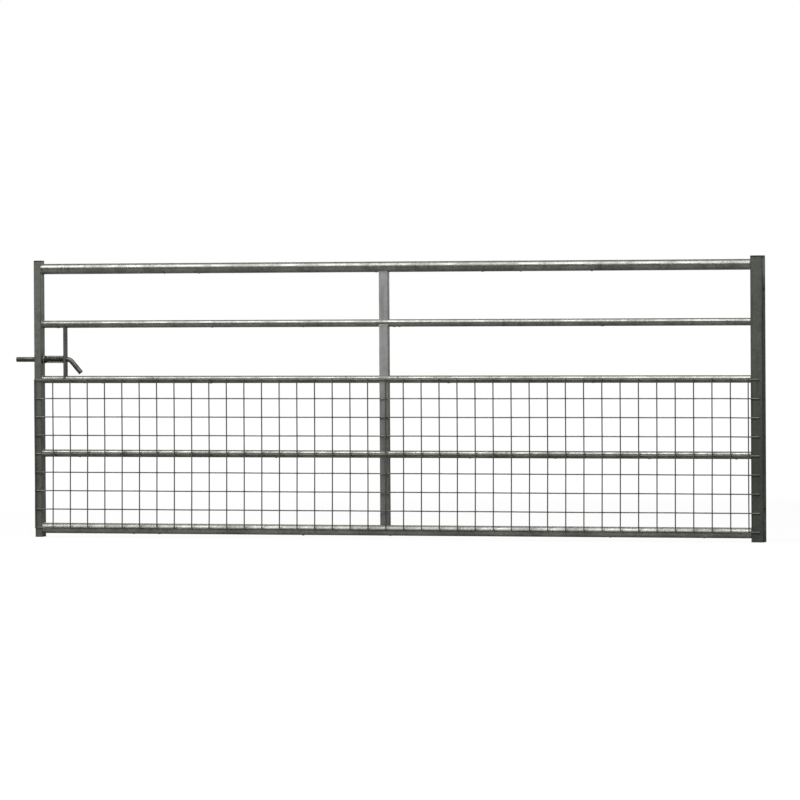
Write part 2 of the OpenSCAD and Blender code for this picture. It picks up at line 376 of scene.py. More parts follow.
class EffectGroup(NodeGraph):
    """A shader node group with named inputs and outputs."""

    def __init__(self, name: str, inputs: dict[str, float], outputs: Sequence[str]) -> None:
        """Starts the group.

        Args:
            name: The group's name.
            inputs: Number inputs with their usual values; a vector input named Place is always there.
            outputs: Names of the number outputs.
        """
        super().__init__(bpy.data.node_groups.new(name, "ShaderNodeTree"))
        interface = self.tree.interface
        interface.new_socket("Place", in_out="INPUT", socket_type="NodeSocketVector")
        for label, value in inputs.items():
            interface.new_socket(label, in_out="INPUT", socket_type="NodeSocketFloat").default_value = value
        for label in outputs:
            interface.new_socket(label, in_out="OUTPUT", socket_type="NodeSocketFloat")
        self.entry = self.add("NodeGroupInput")

    def given(self, name: str) -> bpy.types.NodeSocket:
        """Returns the socket of a named input."""
        return self.entry.outputs[name]

    def stretched(self, scale: Colour) -> bpy.types.NodeSocket:
        """Returns the place scaled by a factor along each axis."""
        return self.add("ShaderNodeMapping", {"Vector": self.given("Place"), "Scale": scale}).outputs[0]

    def patches(self, scale: float, detail: float, low: float, high: float) -> bpy.types.NodeSocket:
        """Makes patches out of noise.

        Args:
            scale: Patches per metre.
            detail: Number of finer layers.
            low: Noise value outside the patches.
            high: Noise value inside them.

        Returns:
            The patches' mask.
        """
        clouds = self.noise(self.given("Place"), scale, detail).outputs["Fac"]
        return self.spread(clouds, low, high)

    def close(self, results: dict[str, bpy.types.NodeSocket]) -> bpy.types.NodeTree:
        """Ends the group.

        Args:
            results: Source sockets by output name.

        Returns:
            The finished group.
        """
        self.add("NodeGroupOutput", results)
        return self.tree


class Effects:
    """The shading effects that several finishes use, each built once."""

    @cached_property
    def spangle(self) -> bpy.types.NodeTree:
        """Frosted zinc crystals, each with its own tone."""
        group = EffectGroup("ZincSpangle", {"Scale": 90.0}, ("Crystals", "Height"))
        shake = group.noise(group.given("Place"), scale=60.0, detail=2.0).outputs["Color"]
        moved = {0: shake, 1: (0.006, 0.006, 0.006), 2: group.given("Place")}
        bent = group.add("ShaderNodeVectorMath", moved, operation="MULTIPLY_ADD").outputs[0]
        inputs = {"Vector": bent, "Scale": group.given("Scale")}
        cells = group.add("ShaderNodeTexVoronoi", inputs)
        tone = group.add("ShaderNodeSeparateColor", {"Color": cells.outputs["Color"]}).outputs[0]
        edges = group.add("ShaderNodeTexVoronoi", inputs, feature="DISTANCE_TO_EDGE")
        seam = group.spread(edges.outputs["Distance"], low=0.0, high=0.3)
        return group.close({"Crystals": tone, "Height": seam})

    @cached_property
    def mottle(self) -> bpy.types.NodeTree:
        """Uneven clouds with fine grit in them."""
        group = EffectGroup("ZincMottle", {"Scale": 9.0, "Grit": 0.4}, ("Clouds", "Height"))
        broad = group.noise(group.given("Place"), group.given("Scale"), detail=5.0).outputs["Fac"]
        fine = group.noise(group.given("Place"), scale=420.0, detail=3.0).outputs["Fac"]
        grit = group.math("MULTIPLY", group.math("SUBTRACT", fine, 0.5), group.given("Grit"))
        clouds = group.spread(group.math("ADD", broad, grit), low=0.34, high=0.66)
        return group.close({"Clouds": clouds, "Height": fine})

    @cached_property
    def runs(self) -> bpy.types.NodeTree:
        """Streaks that rain and zinc leave down an upright face."""
        group = EffectGroup("RainRuns", {"Amount": 0.5}, ("Streaks",))
        tall = group.stretched((70.0, 70.0, 3.0))
        thin = group.spread(group.noise(tall, scale=1.0, detail=3.0).outputs["Fac"], low=0.5, high=0.72)
        patch = group.patches(scale=5.0, detail=2.0, low=0.4, high=0.6)
        streaks = group.math("MULTIPLY", thin, patch)
        return group.close({"Streaks": group.math("MULTIPLY", streaks, group.given("Amount"))})

    @cached_property
    def edge_wear(self) -> bpy.types.NodeTree:
        """Brighter rubbed metal along edges, broken up by noise."""
        group = EffectGroup("EdgeWear", {"Reach": 0.0015, "Amount": 0.8}, ("Worn",))
        rounded = group.add("ShaderNodeBevel", {"Radius": group.given("Reach")}, samples=4).outputs[0]
        true = group.add("ShaderNodeNewGeometry").outputs["Normal"]
        likeness = group.add("ShaderNodeVectorMath", {0: rounded, 1: true}, operation="DOT_PRODUCT")
        turned = group.math("SUBTRACT", 1.0, likeness.outputs["Value"])
        edge = group.spread(turned, low=0.01, high=0.12)
        patchy = group.patches(scale=55.0, detail=4.0, low=0.35, high=0.6)
        worn = group.math("MULTIPLY", group.math("MULTIPLY", edge, patchy), group.given("Amount"))
        return group.close({"Worn": worn})

    @cached_property
    def settled_dust(self) -> bpy.types.NodeTree:
        """Dust that settles on upward faces."""
        group = EffectGroup("SettledDust", {"Amount": 0.5}, ("Dust",))
        normal = group.add("ShaderNodeNewGeometry").outputs["Normal"]
        upward = group.add("ShaderNodeSeparateXYZ", {"Vector": normal}).outputs["Z"]
        cover = group.patches(scale=26.0, detail=5.0, low=0.35, high=0.7)
        dust = group.math("MULTIPLY", group.spread(upward, low=0.35, high=0.95), cover)
        return group.close({"Dust": group.math("MULTIPLY", dust, group.given("Amount"))})

    @cached_property
    def ground_soil(self) -> bpy.types.NodeTree:
        """Darker weathering that grows towards the ground."""
        group = EffectGroup("GroundSoil", {"Clear": 0.7, "Soiled": 0.2}, ("Soil",))
        height = group.add("ShaderNodeSeparateXYZ", {"Vector": group.given("Place")}).outputs["Z"]
        ragged = group.noise(group.given("Place"), scale=12.0, detail=4.0).outputs["Fac"]
        rise = group.math("MULTIPLY", group.math("SUBTRACT", ragged, 0.5), 0.2)
        level = group.math("ADD", height, rise)
        inputs = {"Value": level, "From Min": group.given("Clear"), "From Max": group.given("Soiled")}
        soil = group.add("ShaderNodeMapRange", inputs, interpolation_type="SMOOTHSTEP").outputs["Result"]
        return group.close({"Soil": soil})


class Finish(NodeGraph):
    """A material under construction: a Principled shader with a bump on its normal."""

    def __init__(self, name: str, effects: Effects) -> None:
        """Starts the material.

        Args:
            name: The material's name.
            effects: The shared effects.
        """
        self.material = bpy.data.materials.new(name)
        self.material.use_nodes = True
        super().__init__(self.material.node_tree)
        self.effects = effects
        self.shader = self.tree.nodes["Principled BSDF"]
        self.place = self.add("ShaderNodeTexCoord").outputs["Object"]

    def effect(self, group: bpy.types.NodeTree, **values: float) -> bpy.types.Node:
        """Places a shared effect.

        Args:
            group: The effect's group.
            **values: Values of its number inputs.

        Returns:
            The group's node.
        """
        node = self.add("ShaderNodeGroup", node_tree=group)
        self.tree.links.new(self.place, node.inputs["Place"])
        for label, value in values.items():
            node.inputs[label].default_value = value
        return node

    def between(self, factor: object, low: float, high: float) -> bpy.types.NodeSocket:
        """Maps 0..1 to low..high.

        Args:
            factor: Value or socket from 0 to 1.
            low: Result at 0.
            high: Result at 1.

        Returns:
            The result's socket.
        """
        return self.add("ShaderNodeMapRange", {"Value": factor, "To Min": low, "To Max": high}).outputs[0]

    def close(
        self, colour: object, roughness: object, height: object, depth: float, **constants: float
    ) -> bpy.types.Material:
        """Wires the shader.

        Args:
            colour: Socket of the base colour.
            roughness: Socket of the roughness.
            height: Socket of the bump's height.
            depth: Depth of the bump, in metres.
            **constants: Plain values by the shader's input names, with _ for a space.

        Returns:
            The finished material.
        """
        self.tree.links.new(colour, self.shader.inputs["Base Color"])
        self.tree.links.new(roughness, self.shader.inputs["Roughness"])
        bump = self.add("ShaderNodeBump", {"Height": height, "Strength": 1.0, "Distance": depth})
        self.tree.links.new(bump.outputs[0], self.shader.inputs["Normal"])
        for label, value in constants.items():
            self.shader.inputs[label.replace("_", " ")].default_value = value
        return self.material


def toned(colour: Colour, factor: float) -> Colour:
    """Returns a colour made lighter or darker by a factor."""
    return tuple(min(1.0, factor * part) for part in colour)


@dataclass(frozen=True)
class ZincFinish:
    """Weathered hot-dip zinc on mild steel.

    Attributes:
        name: The material's name.
        pale: Colour of the bright crystals.
        dark: Colour of the dull clouds.
        soil: Colour towards the ground.
        soil_amount: Share of the soil colour at the foot.
        metallic: The shader's metallic value.
        smooth: Roughness of the brightest places.
        rough: Roughness of the dullest places.
        spangle: Crystals per metre.
        streaks: Strength of the rain runs.
        bump: Depth of the surface relief.
        seam_relief: Share of that depth in the crystals' seams.
        crystal_share: How far the crystals' tones lighten the base.
        cloud_share: How far the clouds lighten it.
        dust: Colour of the settled dust.
        dust_amount: Share of the dust on upward faces.
    """

    name: str
    pale: Colour
    dark: Colour
    soil: Colour = (0.03, 0.031, 0.027)
    soil_amount: float = 0.0
    metallic: float = 0.45
    smooth: float = 0.36
    rough: float = 0.55
    spangle: float = 90.0
    streaks: float = 0.5
    bump: float = 0.00012
    seam_relief: float = 0.15
    crystal_share: float = 0.45
    cloud_share: float = 0.75
    dust: Colour = (0.34, 0.33, 0.29)
    dust_amount: float = 0.35

    def build(self, effects: Effects) -> bpy.types.Material:
        """Builds the material.

        Args:
            effects: The shared effects.

        Returns:
            The finished material.
        """
        finish = Finish(self.name, effects)
        mottle = finish.effect(effects.mottle)
        spangle = finish.effect(effects.spangle, Scale=self.spangle)
        runs = finish.effect(effects.runs, Amount=self.streaks)
        soil = finish.effect(effects.ground_soil)
        wear = finish.effect(effects.edge_wear)
        dust = finish.effect(effects.settled_dust, Amount=self.dust_amount)
        crystals = finish.math("MULTIPLY", spangle.outputs["Crystals"], self.crystal_share)
        tone = finish.math("MULTIPLY", mottle.outputs["Clouds"], self.cloud_share)
        base = finish.mix(finish.math("ADD", crystals, tone), self.dark, self.pale)
        base = finish.mix(runs.outputs["Streaks"], base, toned(self.dark, factor=0.5))
        soiled = finish.math("MULTIPLY", soil.outputs["Soil"], self.soil_amount)
        base = finish.mix(soiled, base, self.soil)
        base = finish.mix(dust.outputs["Dust"], base, self.dust)
        base = finish.mix(wear.outputs["Worn"], base, toned(self.pale, factor=1.5))
        roughness = finish.between(mottle.outputs["Clouds"], self.rough, self.smooth)
        seams = finish.math("MULTIPLY", spangle.outputs["Height"], self.seam_relief)
        relief = finish.math("ADD", mottle.outputs["Height"], seams)
        return finish.close(base, roughness, relief, self.bump, Metallic=self.metallic)


@dataclass(frozen=True)
class RodFinish:
    """Dull plated steel of the moving latch pieces, rubbed bright where they slide.

    Attributes:
        name: The material's name.
        pale: Colour of rubbed places.
        dark: Colour of the tarnish.
        rust: Colour of the brown bloom.
        rust_amount: Share of the bloom in its patches.
        metallic: The shader's metallic value.
        smooth: Roughness of rubbed places.
        rough: Roughness of tarnished places.
        scuff_share: How far the scuffs along the rod rub it bright.
        dust: Colour of the settled dust.
        bump: Depth of the surface relief.
    """

    name: str
    pale: Colour
    dark: Colour
    rust: Colour = (0.075, 0.05, 0.03)
    rust_amount: float = 0.2
    metallic: float = 0.6
    smooth: float = 0.3
    rough: float = 0.55
    scuff_share: float = 0.35
    dust: Colour = (0.3, 0.28, 0.24)
    bump: float = 0.0002

    def build(self, effects: Effects) -> bpy.types.Material:
        """Builds the material.

        Args:
            effects: The shared effects.

        Returns:
            The finished material.
        """
        finish = Finish(self.name, effects)
        mottle = finish.effect(effects.mottle, Scale=45.0, Grit=0.7)
        wear = finish.effect(effects.edge_wear, Reach=0.001, Amount=0.9)
        dust = finish.effect(effects.settled_dust, Amount=0.2)
        along = {"Vector": finish.place, "Scale": (8.0, 900.0, 900.0)}
        drawn = finish.add("ShaderNodeMapping", along).outputs[0]
        lines = finish.noise(drawn, scale=1.0, detail=2.0).outputs["Fac"]
        scuffs = finish.spread(lines, low=0.52, high=0.7)
        spots = finish.noise(finish.place, scale=70.0, detail=5.0).outputs["Fac"]
        bloom = finish.spread(spots, low=0.5, high=0.68)
        base = finish.mix(mottle.outputs["Clouds"], self.dark, self.pale)
        base = finish.mix(finish.math("MULTIPLY", bloom, self.rust_amount), base, self.rust)
        base = finish.mix(finish.math("MULTIPLY", scuffs, self.scuff_share), base, self.pale)
        base = finish.mix(dust.outputs["Dust"], base, self.dust)
        base = finish.mix(wear.outputs["Worn"], base, toned(self.pale, factor=2.2))
        roughness = finish.between(mottle.outputs["Clouds"], self.rough, self.smooth)
        relief = finish.math("ADD", mottle.outputs["Height"], finish.math("MULTIPLY", scuffs, 0.5))
        return finish.close(base, roughness, relief, self.bump, Metallic=self.metallic)


@dataclass(frozen=True)
class MouldedFinish:
    """Black moulded plastic with a fine grain, chalked by the weather.

    Attributes:
        name: The material's name.
        fresh: Colour of sound plastic.
        chalked: Colour of weathered plastic.
        worn: Colour of rubbed edges.
        dust: Colour of the settled dust.
        fresh_rough: Roughness of sound plastic.
        chalked_rough: Roughness of weathered plastic.
        grain: Grains per metre.
        bump: Depth of the surface relief.
    """

    name: str = "MouldedPlastic"
    fresh: Colour = (0.004, 0.004, 0.004)
    chalked: Colour = (0.012, 0.012, 0.0115)
    worn: Colour = (0.09, 0.09, 0.088)
    dust: Colour = (0.06, 0.058, 0.05)
    fresh_rough: float = 0.38
    chalked_rough: float = 0.6
    grain: float = 1600.0
    bump: float = 0.00015

    def build(self, effects: Effects) -> bpy.types.Material:
        """Builds the material.

        Args:
            effects: The shared effects.

        Returns:
            The finished material.
        """
        finish = Finish(self.name, effects)
        mottle = finish.effect(effects.mottle, Scale=60.0, Grit=0.5)
        wear = finish.effect(effects.edge_wear, Reach=0.0012, Amount=0.5)
        dust = finish.effect(effects.settled_dust, Amount=0.25)
        grain = finish.add("ShaderNodeTexVoronoi", {"Vector": finish.place, "Scale": self.grain})
        chalk = finish.math("MULTIPLY", mottle.outputs["Clouds"], 0.6)
        base = finish.mix(chalk, self.fresh, self.chalked)
        base = finish.mix(dust.outputs["Dust"], base, self.dust)
        base = finish.mix(wear.outputs["Worn"], base, self.worn)
        roughness = finish.between(mottle.outputs["Clouds"], self.fresh_rough, self.chalked_rough)
        relief = finish.math("ADD", grain.outputs["Distance"], mottle.outputs["Height"])
        return finish.close(base, roughness, relief, self.bump, Metallic=0.0)


# ---------------------------------------------------------------- shapes


def guide_piece(name: str, lines: Sequence[Loop], closed: bool = False) -> bpy.types.Object:
    """Makes an object of guide lines for a geometry tree to work on.

    Args:
        name: The piece's name.
        lines: Rows of points; a row of one point is a guide point.
        closed: Whether each line returns to its start.

    Returns:
        The linked object.
    """
    points: list[Vector] = []
    edges: list[tuple[int, int]] = []
    for line in lines:
        first = len(points)
        points.extend(line)
        edges.extend((n, n + 1) for n in range(first, len(points) - 1))
        if closed:
            edges.append((len(points) - 1, first))
    mesh = bpy.data.meshes.new(name)
    mesh.from_pydata(points, edges, [])
    reach = mesh.attributes.new(REACH, "FLOAT", "POINT")
    reach.data.foreach_set("value", [1.0] * len(points))
    return linked(name, mesh)


def linked(name: str, mesh: bpy.types.Mesh) -> bpy.types.Object:
    """Links a mesh into the scene.

    Args:
        name: The object's name.
        mesh: Its mesh.

    Returns:
        The new object.
    """
    piece = bpy.data.objects.new(name, mesh)
    bpy.context.scene.collection.objects.link(piece)
    return piece


def skin(
    name: str, rings: Sequence[Loop], material: bpy.types.Material, tube: bool = False
) -> bpy.types.Object:
    """Makes a closed smooth skin over rings of equal numbers of points.

    Args:
        name: The piece's name.
        rings: The rings in order, each running anticlockwise about the way they advance.
        material: The piece's material.
        tube: Whether the last ring joins the first; otherwise both ends are filled.

    Returns:
        The linked object.
    """
    sides = len(rings[0])
    last = len(rings) if tube else len(rings) - 1
    faces = [
        (
            n * sides + k,
            n * sides + (k + 1) % sides,
            (n + 1) % len(rings) * sides + (k + 1) % sides,
            (n + 1) % len(rings) * sides + k,
        )
        for n in range(last)
        for k in range(sides)
    ]
    if not tube:
        faces.append(tuple(range(sides - 1, -1, -1)))
        faces.append(tuple(range((len(rings) - 1) * sides, len(rings) * sides)))
    mesh = bpy.data.meshes.new(name)
    mesh.from_pydata([point for ring in rings for point in ring], [], faces)
    mesh.materials.append(material)
    mesh.shade_smooth()
    mesh.set_sharp_from_angle(angle=CREASE_ANGLE)
    return linked(name, mesh)


def rounded_route(corners: Loop, radius: float, spacing: float) -> Loop:
    """Rounds the inner corners of a route and spaces points along its straight runs.

    Args:
        corners: Ends and corners of the route.
        radius: Bend radius on the centre line.
        spacing: Greatest distance between points on a straight run.

    Returns:
        The route's points.
    """
    stops = [corners[0]]
    for before, corner, after in zip(corners, corners[1:], corners[2:]):
        come, leave = (corner - before).normalized(), (after - corner).normalized()
        turn = come.angle(leave)
        set_back = radius * math.tan(turn / 2)
        start = corner - come * set_back
        centre = corner + (leave - come).normalized() * (radius / math.cos(turn / 2))
        steps = max(3, math.ceil(math.degrees(turn) / 5))
        axis = come.cross(leave).normalized()
        for n in range(steps + 1):
            stops.append(centre + Quaternion(axis, turn * n / steps) @ (start - centre))
    stops.append(corners[-1])
    route = [stops[0]]
    for start, end in zip(stops, stops[1:]):
        parts = max(1, math.ceil((end - start).length / spacing))
        route.extend(start.lerp(end, n / parts) for n in range(1, parts + 1))
    return route


def circle(radius: float, count: int) -> list[tuple[float, float]]:
    """Returns points spaced evenly round a circle, as their two distances from its centre."""
    angles = [math.tau * n / count for n in range(count)]
    return [(radius * math.cos(angle), radius * math.sin(angle)) for angle in angles]


def rounded_outline(width: float, depth: float, corner: float, steps: int = 6) -> Loop:
    """Draws a rectangle with round corners about the origin, anticlockwise from above.

    Args:
        width: Size along X.
        depth: Size along Y.
        corner: Corner radius.
        steps: Points added round each corner.

    Returns:
        The outline's points, at height 0.
    """
    outline = []
    for quarter, (side, face) in enumerate(((1, 1), (-1, 1), (-1, -1), (1, -1))):
        centre = Vector((side * (width / 2 - corner), face * (depth / 2 - corner), 0))
        for n in range(steps + 1):
            angle = math.pi / 2 * (quarter + n / steps)
            outline.append(centre + corner * Vector((math.cos(angle), math.sin(angle), 0)))
    return outline


def seat(piece: bpy.types.Object, body: Body, slot: Slot, *nodes: str) -> bpy.types.Object:
    """Puts a finished piece on its body and hides the nodes that it stands for.

    Args:
        piece: The finished piece.
        body: Body that it moves with.
        slot: Material slot of its finish; not used.
        *nodes: Nodes that it replaces.

    Returns:
        The same piece.
    """
    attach(piece, body.value)
    if nodes:
        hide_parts(*nodes)
    LOG.info("%s: %d faces on %s", piece.name, len(piece.data.polygons), body.value)
    return piece


def dress(material: bpy.types.Material, *nodes: str) -> None:
    """Gives frame nodes a finish.

    Args:
        material: The finish.
        *nodes: Names of the nodes.
    """
    for name in nodes:
        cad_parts[name].material_slots[0].material = material
        LOG.info("%s: kept, with %s", name, material.name)


@dataclass(frozen=True)
class Rail:
    """A round rail, read from its node.

    Attributes:
        start: X of the slam end.
        end: X of the hanging end.
        height: Z of the axis.
        radius: Outside radius.
    """

    start: float
    end: float
    height: float
    radius: float

    @classmethod
    def from_node(cls, name: str) -> "Rail":
        """Reads a rail from its node.

        Args:
            name: The node's name.

        Returns:
            The rail.
        """
        low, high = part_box(name)
        return cls(low.x, high.x, (low.z + high.z) / 2, (high.z - low.z) / 2)


# ---------------------------------------------------------------- sub-assemblies


@dataclass
class MeshPanel:
    """Square welded mesh: line wires along the gate, cross wires in front, a nugget at each weld.

    Attributes:
        trees: The geometry trees.
        material: The wire's finish.
        wire_radius: Radius of the wire.
        lap: Gap between a wire and the tube behind it.
        crossing: Distance between the centres of crossing wires.
        bend_radius: Radius of the joggles.
        joggle_slam: Where a line wire's step starts and ends, from the slam stile's inner face.
        joggle_hanging: The same, from the hanging stile's inner face.
        pitch: Distance between cross wires.
        overhang: Length of a cross wire beyond the outer line wires.
        lean_bend: Bend radius of a cross wire where it leaves the fourth rail.
        nugget: Radius of the weld at a crossing.
        nugget_shape: How far a nugget is stretched along each axis.
        tack: Radius of a tack weld.
        tack_shape: How far a tack is stretched along each axis.
        tack_aside: Distance from a cross wire to its tack, in pitches.
        tack_behind: Distance of a tack behind the line wire's axis, in wire radii.
        tacked: Line wires that are tacked to the rail behind them, counted from 0 at the top.
        tack_every: Number of cross wires from one tack to the next.
        wire_sides: Number of sides of a wire.
        spacing: Distance between points along a wire.
        stray: How far the wires stray from straight.
        stray_scale: How many times a metre they stray.
    """

    trees: Trees
    material: bpy.types.Material
    wire_radius: float = 0.0025
    lap: float = 0.00005
    crossing: float = 0.0045
    bend_radius: float = 0.03
    joggle_slam: tuple[float, float] = (0.005, 0.045)
    joggle_hanging: tuple[float, float] = (0.017, 0.062)
    pitch: float = 0.075
    overhang: float = 0.003
    lean_bend: float = 0.3
    nugget: float = 0.0029
    nugget_shape: tuple[float, float, float] = (1.15, 0.8, 1.15)
    tack: float = 0.0026
    tack_shape: tuple[float, float, float] = (3.2, 1.0, 0.9)
    tack_aside: float = 0.12
    tack_behind: float = 0.8
    tacked: tuple[int, ...] = (0, 4, LINE_WIRE_COUNT - 1)
    tack_every: int = 4
    wire_sides: int = 12
    spacing: float = 0.025
    stray: float = 0.0018
    stray_scale: float = 3.0

    def __post_init__(self) -> None:
        """Reads the rails, stiles and wire heights from the frame."""
        self.fourth = Rail.from_node("fourth_rail")
        self.bottom = Rail.from_node("bottom_rail")
        self.stile_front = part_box("hanging_stile")[0].y - self.wire_radius - self.lap
        self.rail_front = -(self.fourth.radius + self.wire_radius + self.lap)
        boxes = [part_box(self.node(n)) for n in range(LINE_WIRE_COUNT)]
        self.heights = [(low.z + high.z) / 2 for low, high in boxes]
        self.line_ends = (boxes[0][0].x, boxes[0][1].x)
        low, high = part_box("mesh_cross_wires")
        self.first_cross = low.x + self.wire_radius
        self.cross_count = round((high.x - low.x - 2 * self.wire_radius) / self.pitch) + 1

    @staticmethod
    def node(number: int) -> str:
        """Returns the node name of a line wire, counted from 0 at the top."""
        return f"mesh_line_wire_{number + 1}"

    def depth(self, height: float) -> float:
        """Finds how far forward a line wire lies on the rails.

        Args:
            height: Z of the wire.

        Returns:
            Y of the wire's centre.
        """
        bottom_front = -(self.bottom.radius + self.wire_radius + self.lap)
        lean = (bottom_front - self.rail_front) / (self.fourth.height - self.heights[-1])
        return self.rail_front + lean * max(0.0, self.fourth.height - height)

    def rods(self, name: str, lines: Sequence[Loop], copies: int) -> bpy.types.Object:
        """Sweeps guide lines to wire.

        Args:
            name: The piece's name.
            lines: The guide lines.
            copies: How many times they repeat, one pitch apart.

        Returns:
            The piece.
        """
        sizes = {
            "Copies": copies,
            "Step": (self.pitch, 0.0, 0.0),
            "Sides": self.wire_sides,
            "Radius": self.wire_radius,
            "Material": self.material,
            **self.straying(),
        }
        return self.trees.rod.apply(guide_piece(name, lines), sizes)

    def straying(self) -> dict:
        """Returns the inputs of the shared slow noise."""
        return {"Wander": (self.stray, 0.0, self.stray), "Wander scale": self.stray_scale}

    def line_wire(self, number: int) -> None:
        """Builds a line wire, which steps forward over both stiles.

        Args:
            number: Its number from the top, from 0.
        """
        height = self.heights[number]
        depth = self.depth(height)
        slam_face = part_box("slam_stile")[1].x
        hanging_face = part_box("hanging_stile")[0].x
        corners = [
            Vector((self.line_ends[0], self.stile_front, height)),
            Vector((slam_face + self.joggle_slam[0], self.stile_front, height)),
            Vector((slam_face + self.joggle_slam[1], depth, height)),
            Vector((hanging_face - self.joggle_hanging[1], depth, height)),
            Vector((hanging_face - self.joggle_hanging[0], self.stile_front, height)),
            Vector((self.line_ends[1], self.stile_front, height)),
        ]
        route = rounded_route(corners, self.bend_radius, self.spacing)
        piece = self.rods(f"line_wire_{number + 1}", [route], 1)
        seat(piece, Body.GATE, Slot.WIRE, self.node(number))

    def cross_line(self, place: float, leaning: bool) -> Loop:
        """Draws a cross wire's centre line.

        Args:
            place: X of the wire.
            leaning: Whether it follows the line wires out to the bottom rail.

        Returns:
            The centre line.
        """
        top = self.heights[0] + self.overhang
        foot = self.heights[-1] - self.overhang
        if not leaning:
            depth = self.stile_front - self.crossing
            ends = [Vector((place, depth, height)) for height in (top, foot)]
            return rounded_route(ends, 0.0, self.spacing)
        corners = [
            Vector((place, self.rail_front - self.crossing, top)),
            Vector((place, self.rail_front - self.crossing, self.fourth.height)),
            Vector((place, self.depth(foot) - self.crossing, foot)),
        ]
        return rounded_route(corners, self.lean_bend, self.spacing)

    def cross_wires(self) -> None:
        """Builds the cross wires: one at each stile and the leaning ones between."""
        leaning = self.cross_line(self.first_cross + self.pitch, True)
        piece = self.rods("cross_wires", [leaning], self.cross_count - 2)
        seat(piece, Body.GATE, Slot.WIRE, "mesh_cross_wires")
        last = self.first_cross + (self.cross_count - 1) * self.pitch
        lines = [self.cross_line(place, False) for place in (self.first_cross, last)]
        seat(self.rods("stile_cross_wires", lines, 1), Body.GATE, Slot.WIRE)

    def nuggets(self) -> None:
        """Builds the squeezed weld where each two wires cross."""
        points = []
        for column in range(self.cross_count):
            at_stile = column in (0, self.cross_count - 1)
            for height in self.heights:
                depth = self.stile_front if at_stile else self.depth(height)
                place = self.first_cross + column * self.pitch
                points.append([Vector((place, depth - self.crossing / 2, height))])
        sizes = {
            "Radius": self.nugget,
            "Shape": self.nugget_shape,
            "Seed": 4,
            "Material": self.material,
            **self.straying(),
        }
        piece = self.trees.lumps.apply(guide_piece("mesh_welds", points), sizes)
        seat(piece, Body.GATE, Slot.WIRE)

    def tacks(self) -> None:
        """Builds the tack welds that hold the mesh to the rails behind it."""
        points = []
        for number in self.tacked:
            height = self.heights[number] - self.wire_radius
            depth = self.depth(height) + self.tack_behind * self.wire_radius
            for column in range(2, self.cross_count - 1, self.tack_every):
                place = self.first_cross + (column + self.tack_aside) * self.pitch
                points.append([Vector((place, depth, height))])
        sizes = {
            "Radius": self.tack,
            "Shape": self.tack_shape,
            "Seed": 9,
            "Material": self.material,
            "Wander": NO_MOVE,
        }
        seat(self.trees.lumps.apply(guide_piece("mesh_tacks", points), sizes), Body.GATE, Slot.WIRE)

    def build(self) -> None:
        """Builds the whole panel."""
        for number in range(LINE_WIRE_COUNT):
            self.line_wire(number)
        self.cross_wires()
        self.nuggets()
        self.tacks()


